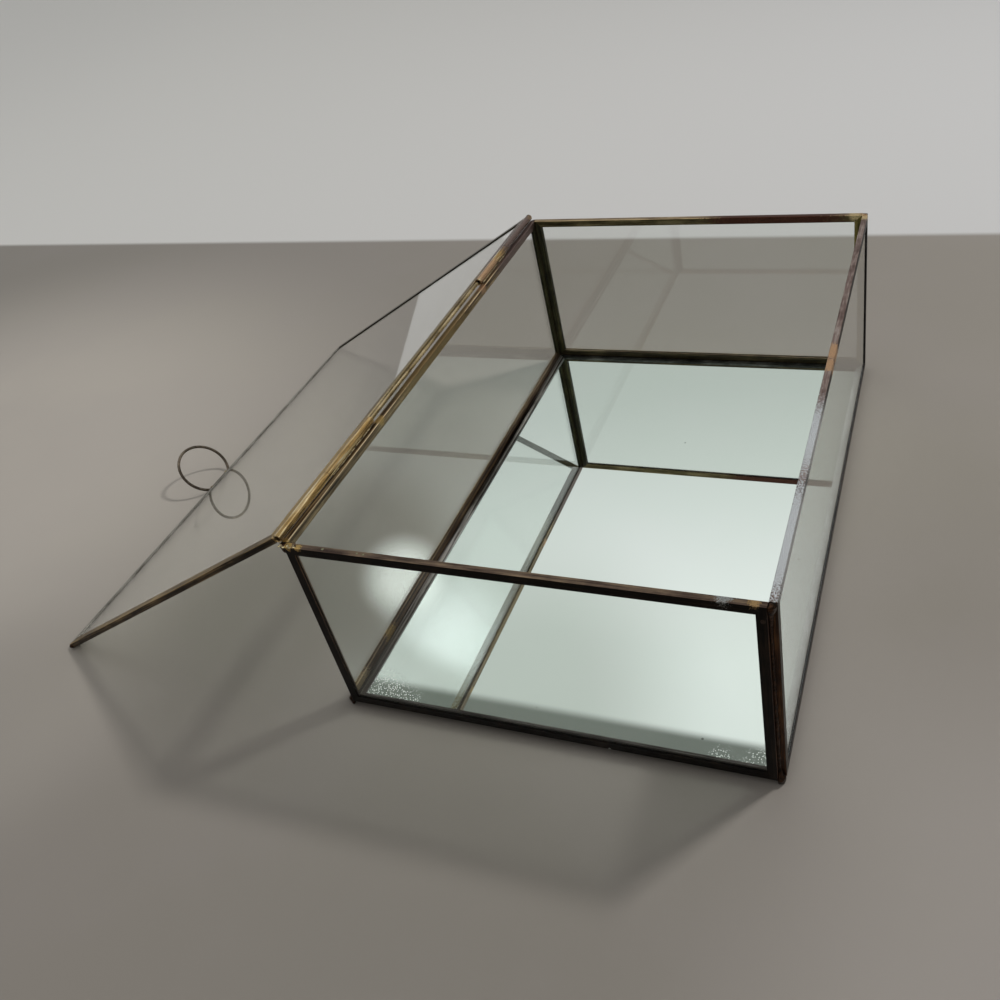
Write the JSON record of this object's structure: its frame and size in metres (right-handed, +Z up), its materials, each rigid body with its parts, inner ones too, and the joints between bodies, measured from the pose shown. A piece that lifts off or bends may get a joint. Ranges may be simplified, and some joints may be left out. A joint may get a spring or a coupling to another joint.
{
  "type": "glass casket box",
  "caption": "Rectangular glass keepsake box with soldered brass edge channels, a mirror base and a hinged glass lid with a wire ring pull.",
  "frame": {"origin": "centre of the box's base, on the table", "axes": "+X towards the opening side, away from the hinge; +Y along the hinge towards the right-hand end seen from the opening side; +Z up"},
  "size_m": [0.3945, 0.3, 0.1041],
  "materials": {
    "wall_glass": "clear glass with a slight grey-green tint",
    "lid_glass": "clear glass with a slight grey-green tint",
    "mirror_base": "silvered glass, faint pale-green tint",
    "felt": "dark felt",
    "wall_brass": "aged, dark red-brown patina with rubbed edges",
    "base_brass": "aged, near-black patina",
    "lid_brass": "aged, olive-tan patina",
    "hinge_brass": "aged, rubbed bright on the tubes",
    "pin_brass": "aged, brown patina",
    "ring_brass": "dull aged wire",
    "dark_solder": "soft solder darkened with age",
    "hinge_solder": "soft solder with a golden-brown patina",
    "ring_solder": "bright soft solder, tinted gold"
  },
  "bodies": {
    "box": {"front_glass": "wall_glass", "back_glass": "wall_glass", "left_glass": "wall_glass", "right_glass": "wall_glass", "base_mirror": "mirror_base", "base_felt": "felt", "front_channel_top": "wall_brass", "front_channel_bottom": "wall_brass", "front_channel_left": "wall_brass", "front_channel_right": "wall_brass", "back_channel_top": "wall_brass", "back_channel_bottom": "wall_brass", "back_channel_left": "wall_brass", "back_channel_right": "wall_brass", "left_channel_top": "wall_brass", "left_channel_bottom": "wall_brass", "left_channel_front": "wall_brass", "left_channel_back": "wall_brass", "right_channel_top": "wall_brass", "right_channel_bottom": "wall_brass", "right_channel_front": "wall_brass", "right_channel_back": "wall_brass", "base_channel_front": "base_brass", "base_channel_back": "base_brass", "base_channel_left": "base_brass", "base_channel_right": "base_brass", "wall_seam_solder": "dark_solder", "base_seam_solder": "dark_solder", "rim_corner_solder": "dark_solder", "base_corner_solder": "dark_solder", "box_hinge_tube_left": "hinge_brass", "box_hinge_tube_right": "hinge_brass", "hinge_pin": "pin_brass", "box_hinge_solder": "hinge_solder"},
    "lid": {"lid_glass": "lid_glass", "lid_channel_front": "lid_brass", "lid_channel_hinge": "lid_brass", "lid_channel_left": "lid_brass", "lid_channel_right": "lid_brass", "lid_corner_solder": "dark_solder", "lid_hinge_tube_left": "hinge_brass", "lid_hinge_tube_right": "hinge_brass", "lid_hinge_solder": "hinge_solder", "ring_pull": "ring_brass", "ring_solder": "ring_solder"}
  },
  "joints": [
    {"name": "lid_hinge", "type": "hinge", "parent": "box", "child": "lid", "pos_m": [-0.1004, 0, 0.10215], "axis": [0, 1, 0], "range_deg": [0, 210.17]}
  ]
}
